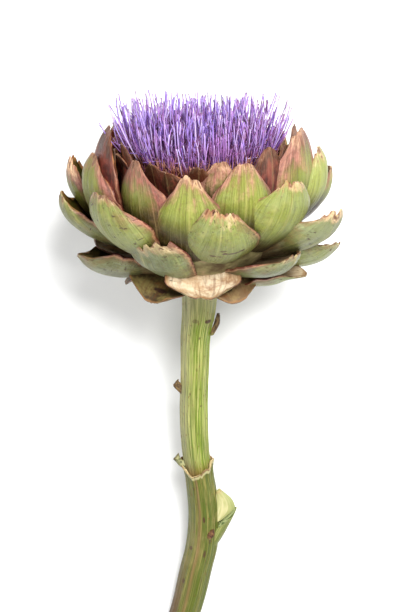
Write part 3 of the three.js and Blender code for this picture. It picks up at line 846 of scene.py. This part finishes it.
def threads(pile, starts, headings, lengths, bends, radii, chances, sides=3, stations=6, tips=0.35):
    """Thin curved threads, all in one go. bends is the sideways bow of each."""
    count = len(starts)
    t = np.linspace(0, 1, stations)
    line = (
        starts[:, None, :]
        + headings[:, None, :] * (lengths[:, None] * t)[..., None]
        + bends[:, None, :] * (t * t)[None, :, None]
    )
    across = unit(np.cross(headings, np.array([0.31, 0.87, 0.12])))
    other = np.cross(headings, across)
    width = np.broadcast_to(radii, count)[:, None] * (1 - (1 - tips) * t[None, :] ** 1.5)
    turn = np.arange(sides) * 2 * np.pi / sides
    ring = across[:, None, None, :] * np.cos(turn)[None, None, :, None]
    ring = ring + other[:, None, None, :] * np.sin(turn)[None, None, :, None]
    points = line[:, :, None, :] + ring * width[:, :, None, None]
    place = (turn / (2 * np.pi))[None, None, :], t[None, :, None], np.zeros((count, 1, 1))
    uvs = np.stack(np.broadcast_arrays(*place), axis=-1)[..., :2]
    size = stations * sides
    one = ring_faces(stations, sides) + [[size - sides + j for j in range(sides)]]
    faces = [[value + index * size for value in face] for index in range(count) for face in one]
    pile.add(points, faces, uvs, np.repeat(chances, size, axis=0))


def chance_tones(rng, count):
    return np.stack([np.full(count, 0.5), rng.random(count), rng.random(count)], axis=-1)


def spray(rng, count, length, longer, sizes, inward, bow, side):
    """Starts, headings, lengths, bends and tones of threads that stand on the bed."""
    index = np.arange(count)
    share = (index + 0.5) / count
    turn = index * GOLDEN_TURN + rng.normal(0, 0.04, count)
    starts = around(STANDING_RADIUS * np.sqrt(share), turn, BED_HEIGHT - 2.5 - 3.0 * share)
    lean = np.radians(OUTER_LEAN * share**1.3 + rng.normal(0, LEAN_SPREAD, count))
    sweep = turn + rng.normal(0, 0.3, count)
    # The threads at the far side are shorter and those at both sides longer.
    size = 1 + share * (0.28 * np.cos(turn) ** 2 - 0.18 * np.maximum(0, np.sin(turn)) - 0.08)
    lengths = (length + longer * share) * rng.uniform(*sizes, count) * size
    bends = around(1, sweep, 0) * (-inward * share + rng.normal(0, bow, count))[:, None]
    bends = bends + rng.normal(0, side, (count, 3))
    return starts, around(np.sin(lean), sweep, np.cos(lean)), lengths, bends, chance_tones(rng, count)


def fork(pile, rng, stems, at, spread, sizes, radius, tips):
    """A short branch on each thread, from a share of its length up."""
    starts, headings, lengths, bends, tones = stems
    count = len(starts)
    tops = starts + headings * (lengths * at)[:, None] + bends * at**2
    split = unit(headings + rng.normal(0, spread, (count, 3)))
    reach, bows = rng.uniform(*sizes, count), rng.normal(0, 0.5, (count, 3))
    threads(pile, tops, split, reach, bows, radius, tones, stations=4, tips=tips)


# Threads that lie over the bracts: where each starts and ends, and how it bows, in millimetres.
STRAYS = np.array([
    [[-20, -19, 66], [-41, -14, 75], [-5, 0, -6]], [[-8, -27, 67], [-27, -31, 70.5], [-3, -1, -6]],
    [[17, -24, 67], [32, -21, 70], [4, 0, -6]], [[25, -14, 66], [43.5, -8, 81], [-4, 0, 4]],
    [[-26, -10, 66], [-42, -6, 82], [4, 0, 4]], [[-15, -24, 67], [-34, -23, 73], [-4, 0, -5]],
    [[23, -18, 67], [39, -16, 73], [5, 0, -5]], [[2, -28, 67], [7, -36, 71], [1, -3, -5]],
    [[-3, -29, 67], [-12, -36, 71.5], [-2, -2, -5]],
], dtype=float)
# Towards their base the tubes darken to a deep brown: painted shade among the florets.
TUBE_COLOURS = (0.0, (62, 26, 22)), (0.4, (120, 64, 72)), (0.7, (146, 98, 144)), (1.0, (166, 126, 186))
THREAD_COLOURS = (
    (0.0, (130, 72, 54)), (0.22, (168, 108, 108)), (0.42, (184, 150, 206)), (0.8, (184, 158, 226)),
    (1.0, (160, 134, 212)),
)
# The bed under the florets is near black: painted shade between the florets.
BED_COLOURS = (0.35, (38, 18, 16)), (0.55, (72, 36, 34)), (0.75, (120, 70, 52))


def make_florets():
    rng = np.random.default_rng(7)
    tube_skin = floret_skin("floret_tubes", TUBE_COLOURS, (176, 140, 208), (80, 42, 96))
    tubes = spray(rng, 1250, 16.5, -1.5, (0.7, 1.14), 3.0, 0.9, 0.7)
    pile = Pile()
    threads(pile, *tubes[:4], 0.34, tubes[4], tips=0.7)
    # The narrow lobes at the top of each tube.
    for _ in range(2):
        fork(pile, rng, tubes, 0.94, 0.28, (2.0, 4.2), 0.19, 0.4)
    pile.build("floret_tubes", [tube_skin], "florets", sharp=180)

    thread_skin = floret_skin("floret_threads", THREAD_COLOURS, (220, 204, 234), (108, 74, 146))
    styles = spray(rng, 620, 26.5, 2.5, (0.66, 1.08), 6.0, 1.9, 1.3)
    count = len(styles[0])
    pile = Pile()
    threads(pile, *styles[:4], rng.uniform(0.34, 0.46, count), styles[4], stations=9, tips=0.82)
    forked = np.where(rng.random(count) < 0.45)[0]
    fork(pile, rng, [values[forked] for values in styles], 0.86, 0.13, (3.0, 5.5), 0.2, 0.5)
    starts, ends, bends = STRAYS[:, 0], STRAYS[:, 1], STRAYS[:, 2]
    runs = ends - starts - bends
    reach = np.linalg.norm(runs, axis=1)
    tones = chance_tones(rng, len(STRAYS))
    threads(pile, starts, runs / reach[:, None], reach, bends, 0.4, tones, stations=10, tips=0.4)
    pile.build("floret_threads", [thread_skin], "florets", sharp=180)

    bristles = Pile()
    count = 1300
    turn = rng.uniform(*FULL_TURN, count)
    starts = around(rng.uniform(32.5, 36.8, count), turn, rng.uniform(61, 65, count))
    lean = np.radians(rng.normal(14, 13, count))
    headings = around(np.sin(lean), turn + rng.normal(0, 0.8, count), np.cos(lean))
    lengths, bends = rng.uniform(3.5, 9.5, count), rng.normal(0, 1.2, (count, 3))
    threads(bristles, starts, headings, lengths, bends, 0.28, chance_tones(rng, count), stations=4)
    bristles.build("floret_bristles", [bristle_skin()], "florets", sharp=180)

    profile = [
        (0.5, 21.8), (19, 21.8), (26.2, 24.2), (30, 33), (33, 45), (BED_RADIUS - 2.2, BED_HEIGHT - 8),
        (BED_RADIUS - 0.6, BED_HEIGHT - 5), (20, BED_HEIGHT - 2), (0.5, BED_HEIGHT - 1),
    ]
    skin = grainy_skin("floret_bed", 0.8, (900.0, 2.0, 0.5), 0.0008, *BED_COLOURS)
    lathe("floret_bed", profile, 72, skin, "florets")


# Stalk

STALK_LENGTH = 190.0
# Depth below the head and x of the middle of the stalk.
STALK_LINE = np.array([
    [0, 0], [16, -0.4], [27, -1.8], [49, -2.4], [71, -2.9], [93, -1.9], [114, 1],
    [126, 2], [147, 0.9], [158, -1.6], [176, -5.4], [190, -9.2],
])
# Share of the stalk's length and radius, of the stem and of the sheath round it.
UPPER_RADII = np.array([[0, 9.2], [0.07, 8.6], [0.14, 7.7], [0.26, 7.1], [0.4, 7.1], [0.56, 6.6], [1, 6.6]])
LOWER_RADII = np.array([
    [0.48, 8.0], [0.52, 7.9], [0.55, 7.4], [0.6, 7.6], [0.68, 7.8], [0.78, 8.3], [1, 8.1],
])
RIB_HEIGHT = 0.24
SCAR_DEPTH = 20.6  # of the faint ridge of a leaf scar
COLLAR_DEPTH = 98.2
COLLAR_DIP = 6.2
COLLAR_FRONT = math.radians(250)
STEM_END = 112.0
SIDES = 128


def hermite(table, at):
    """A smooth curve through the rows of a table."""
    xs, ys = table[:, 0], table[:, 1]
    slopes = np.gradient(ys, xs)
    index = np.clip(np.searchsorted(xs, at) - 1, 0, len(xs) - 2)
    gap = xs[index + 1] - xs[index]
    t = (at - xs[index]) / gap
    return (
        (2 * t**3 - 3 * t**2 + 1) * ys[index] + (t**3 - 2 * t**2 + t) * gap * slopes[index]
        + (3 * t**2 - 2 * t**3) * ys[index + 1] + (t**3 - t**2) * gap * slopes[index + 1]
    )


def ribs(turn, depth, rng):
    """How far the ribs of the stalk stand out at each angle, from about -1 to 1."""
    slow = turn + 0.0018 * depth
    total = np.zeros_like(slow)
    for waves, strength in ((9, 0.25), (14, 0.35), (19, 0.45), (27, 0.4)):
        total = total + strength * np.cos(waves * slow + rng.uniform(*FULL_TURN))
    return total


def stalk_tube(top, radii, steps, rng):
    """A ribbed tube from top, a depth for each angle, down to the cut end."""
    share = np.linspace(0, 1, steps + 1)[:, None]
    depth = top[None, :] + (STALK_LENGTH - top[None, :]) * share
    angle = np.broadcast_to(np.linspace(*FULL_TURN, SIDES, endpoint=False)[None, :], depth.shape)
    radius = hermite(radii, depth / STALK_LENGTH) + RIB_HEIGHT * ribs(angle, depth, rng)
    scar = np.exp(-(((depth - SCAR_DEPTH) / 1.0) ** 2)) * smooth(np.cos(angle), -0.2, 0.6)
    radius = radius + 0.3 * scar
    x = hermite(STALK_LINE, depth) + radius * np.cos(angle)
    return np.stack([x, radius * np.sin(angle), -depth], axis=-1), angle, depth


def ring_tones(angle, flag):
    """Tones that tell the stalk's skin the place on the ring, and whether it is the sheath."""
    tones = [0.5 + 0.5 * np.cos(angle), 0.5 + 0.5 * np.sin(angle), np.full(angle.shape, float(flag))]
    return np.stack(tones, axis=-1).reshape(-1, 3)


def tube_faces(rows, sides, close_top=False, close_end=False):
    """As ring_faces, but facing the other way, and the ends may be closed."""
    faces = [[a, d, c, b] for a, b, c, d in ring_faces(rows, sides)]
    if close_top:
        faces.append(list(range(sides)))
    if close_end:
        faces.append([(rows - 1) * sides + j for j in range(sides)][::-1])
    return faces


def tube_uvs(rows, sides, v):
    u = np.broadcast_to(np.linspace(0, 1, sides, endpoint=False), (rows, sides))
    return np.stack([u, np.broadcast_to(v, (rows, sides))], axis=-1)


def make_stalk():
    skin = stalk_skin()
    torn = torn_skin("torn_rim", (136, 104, 64), (214, 200, 156))
    turn = np.linspace(*FULL_TURN, SIDES, endpoint=False)
    stem = Pile()
    points, angle, depth = stalk_tube(np.full(SIDES, 0.3), UPPER_RADII, 200, np.random.default_rng(11))
    rows = int(np.argmax(depth[:, 0] > STEM_END))
    points, angle, depth = points[:rows], angle[:rows], depth[:rows]
    faces = tube_faces(rows, SIDES, close_top=True, close_end=True)
    stem.add(points, faces, tube_uvs(rows, SIDES, depth / STALK_LENGTH), ring_tones(angle, 0))
    stem.build("stalk_stem", [skin], "stalk", sharp=60)

    # The sheath, with a torn rim that dips in a V at the front.
    rng = np.random.default_rng(11)
    away = np.abs((turn - COLLAR_FRONT + np.pi) % (2 * np.pi) - np.pi)
    dip = np.maximum(0, 1 - away / math.radians(82))
    rim = COLLAR_DEPTH + COLLAR_DIP * dip + 0.9 * wander(rng, turn, 24, *FULL_TURN)
    rim = rim + 0.5 * wander(rng, turn, 60, *FULL_TURN) - 1.6 * np.exp(-(((turn - 5.9) / 0.16) ** 2))
    blend = np.linspace(0, 1, 9)[1:-1]
    rim[-7:] = rim[-8] * (1 - blend) + rim[0] * blend
    outer, angle, depth = stalk_tube(rim, LOWER_RADII, 150, rng)
    below_rim = depth - rim[None, :]
    outward = around(1, angle, 0)
    outer = outer + outward * (1.1 * np.exp(-below_rim / 2.4))[..., None]
    sheath = Pile()
    uvs = np.stack([below_rim / 10, depth / STALK_LENGTH], axis=-1)
    sheath.add(outer, tube_faces(len(outer), SIDES), uvs, ring_tones(angle, 1))
    # The thick edge of the rim and the inside of the sheath.
    steps_in = (0.0, 0.35, 1.3, 1.9, 2.3)
    steps_down = (0.0, -0.35, 0.1, 1.6, 5.0)
    uneven = 0.25 * wander(rng, turn, 40, *FULL_TURN)
    lip = []
    for step, down in zip(steps_in, steps_down):
        drop = np.stack([0 * turn, 0 * turn, -(down + uneven * (step > 0.3))], axis=-1)
        lip.append(outer[0] - outward[0] * step + drop)
    uvs = tube_uvs(len(lip), SIDES, np.linspace(0.9, 0.3, len(lip))[:, None])
    sheath.add(np.stack(lip)[::-1], tube_faces(len(lip), SIDES), uvs, (0.5, 0.5, 0.5), 1)
    shares = (1.0, 0.9, 0.75, 0.5, 0.25, 0.02)
    add_cap(sheath, outer[-1], 2, shares, np.zeros(len(shares)), np.array([0.0, 0.0, -1.0]))
    sheath.build("stalk_sheath", [skin, torn, cut_skin()], "stalk", sharp=60)


def add_cap(pile, ring, kind, shares, sinks, facing):
    """A cut face inside a ring of points, sunk by some millimetres away from where it faces."""
    sides = len(ring)
    middle = ring.mean(axis=0)
    rings = [middle + (ring - middle) * share - facing * sink for share, sink in zip(shares, sinks)]
    faces = tube_faces(len(shares), sides)
    last = (len(shares) - 1) * sides
    faces.append([last + j for j in range(sides)][::-1])
    uvs = tube_uvs(len(shares), sides, np.array(shares)[:, None])
    pile.add(np.stack(rings), faces, uvs, (0.5, 0.5, 0.5), kind)


def flap(name, left, right, depth, thickness, materials, seed, rows=26, sides=28, wave=0.35, hollow=0.0,
         slant=0.0):
    """A fleshy flap between two edges given as (x, height) from the root up. The last of its
    materials is on its cut end."""
    rng = np.random.default_rng(seed)
    t = np.linspace(0, len(left) - 1, rows)
    stations = np.arange(len(left))
    edges = []
    for edge in (np.array(left, float), np.array(right, float)):
        lines = [hermite(np.stack([stations, edge[:, k]], axis=-1), t) for k in range(2)]
        edges.append(np.stack(lines, axis=-1))
    first, second = edges
    turn = np.linspace(*FULL_TURN, sides, endpoint=False)
    share = 0.5 - 0.5 * np.cos(turn)
    bulk = np.sin(turn)
    along = np.linspace(0, 1, rows)[:, None]
    rough = wave * wander(rng, np.broadcast_to(turn[None, :], (rows, sides)), 9, *FULL_TURN) * along
    x = first[:, None, 0] * (1 - share) + second[:, None, 0] * share + rough
    z = first[:, None, 1] * (1 - share) + second[:, None, 1] * share
    z = z + rough * smooth(along, 0.6, 1.0) * 1.5
    axis = first[-1] + second[-1] - first[-4] - second[-4]
    axis = axis / np.linalg.norm(axis)
    cut = slant * (0.5 + 0.5 * bulk) * along**5
    y = depth - thickness / 2 * bulk * (1 - 0.35 * along)
    grid = np.stack([x - axis[0] * cut, y, z - axis[1] * cut], axis=-1)
    pile = Pile()
    faces = [face[::-1] for face in tube_faces(rows, sides, close_top=True)]
    uvs = np.stack(np.broadcast_arrays(share[None, :], along), axis=-1)
    pile.add(grid, faces, uvs, (0.5, draw(seed), 0.5))
    facing = np.array([axis[0], -0.3, axis[1]])
    facing /= np.linalg.norm(facing)
    sinks = hollow * np.array([0.0, 0.15, 0.7, 1.0, 1.0])
    add_cap(pile, grid[-1][::-1], len(materials) - 1, (1.0, 0.88, 0.72, 0.4, 0.03), sinks, facing)
    pile.build(name, materials, "stalk", sharp=60)


def make_stalk_details():
    torn = torn_skin("torn_scales", (74, 52, 32), (138, 116, 76))
    curl = torn_skin("torn_curl_skin", (92, 96, 62), (166, 164, 122))
    bark = torn_skin("bark", (84, 54, 34), (140, 104, 66))
    bud = bud_skin()
    flap(
        "leaf_stub", [[0.5, -151.6], [3.7, -140.2], [6.3, -135.2], [9, -132.3]],
        [[6.3, -148.2], [11.6, -140.4], [16.4, -131.0], [20.8, -122.2]],
        -1.5, 9, [petiole_skin(), hollow_skin()], 21, rows=40, sides=40, hollow=1.6, wave=0.3, slant=8.0,
    )
    flap(
        "axil_bud", [[5.5, -132], [7, -125], [8, -119], [8.6, -114.2]],
        [[12.2, -130], [18.0, -124.4], [16.4, -118.5], [10.2, -113.6]],
        -2, 3.6, [bud], 22,
    )
    flap(
        "torn_curl", [[-5.5, -103], [-10.5, -100.5], [-13.4, -96.5]],
        [[-5, -98.5], [-9.4, -97], [-11.2, -94]],
        -1.5, 2.6, [curl], 23, wave=0.9,
    )
    flap(
        "high_scale", [[4.6, -28.6], [6.9, -23.4], [8.8, -16.8]],
        [[7.2, -28.4], [10.0, -22.8], [10.3, -18.4]],
        -2, 2.6, [torn], 24, wave=0.5,
    )
    flap(
        "low_scale", [[-8, -62], [-13, -56.5], [-12.2, -53.9]],
        [[-6, -60.5], [-8.5, -56], [-10.2, -52.9]],
        -2, 2.2, [torn], 25, wave=0.5,
    )
    flap(
        "bark_scar", [[3.8, -138.4], [4.0, -136.2], [5.4, -134.2]],
        [[5.8, -139.2], [7.4, -136.8], [7.0, -134.0]],
        -7.2, 2.6, [bark], 26, wave=0.6,
    )


# Camera, floor and light

PIXEL = 0.5  # millimetres at the junction for each pixel of the photograph
FRAME_MIDDLE = (204.0, 306.0)
JUNCTION_PIXEL = (199.5, 280.0)
VIEW_ELEVATION = math.radians(20.0)
VIEW_DISTANCE = 1300.0
SENSOR = 36.0
FLOOR_REACH = 3.0


def make_camera():
    tilt = VIEW_ELEVATION - HEAD_LEAN
    up = Vector((0, math.cos(tilt), -math.sin(tilt)))
    back = Vector((0, math.sin(tilt), math.cos(tilt)))
    right = Vector((1, 0, 0))
    across = (FRAME_MIDDLE[0] - JUNCTION_PIXEL[0]) * PIXEL
    down = (FRAME_MIDDLE[1] - JUNCTION_PIXEL[1]) * PIXEL
    target = Vector(JUNCTION) + right * across - up * down
    lens = bpy.data.cameras.new("camera")
    lens.sensor_fit = "VERTICAL"
    lens.sensor_width = lens.sensor_height = SENSOR
    lens.lens = SENSOR * VIEW_DISTANCE / (2 * FRAME_MIDDLE[1] * PIXEL)
    lens.clip_end = 10
    camera = bpy.data.objects.new("camera", lens)
    camera.location = (target + back * VIEW_DISTANCE) * MM
    camera.rotation_euler = Euler((-tilt, 0, 0))
    bpy.context.scene.collection.objects.link(camera)
    bpy.context.scene.camera = camera


def lamp(name, place, size, energy, aim=(0, 0.05, 0.05)):
    data = bpy.data.lights.new(name, "AREA")
    data.energy = energy
    data.size = size
    light = bpy.data.objects.new(name, data)
    light.location = place
    light.rotation_euler = (Vector(aim) - Vector(place)).to_track_quat("-Z", "Y").to_euler()
    bpy.context.scene.collection.objects.link(light)


def make_room():
    mesh = bpy.data.meshes.new("floor")
    corners = [(x * FLOOR_REACH, y * FLOOR_REACH, 0) for x, y in ((-1, -1), (1, -1), (1, 1), (-1, 1))]
    mesh.from_pydata(corners, [], [(0, 1, 2, 3)])
    mesh.materials.append(floor_skin())
    floor = bpy.data.objects.new("floor", mesh)
    bpy.context.scene.collection.objects.link(floor)
    world = bpy.data.worlds.new("studio")
    world.use_nodes = True
    background = world.node_tree.nodes["Background"]
    background.inputs["Color"].default_value = (1, 1, 1, 1)
    background.inputs["Strength"].default_value = 0.3
    bpy.context.scene.world = world
    lamp("key", (0.24, 0.5, 1.05), 0.45, 25)
    lamp("fill", (-0.1, -0.45, 1.15), 0.8, 9)
    bpy.context.scene.view_settings.view_transform = "Standard"


make_bracts()
make_receptacle()
make_florets()
make_stalk()
make_stalk_details()
make_camera()
make_room()
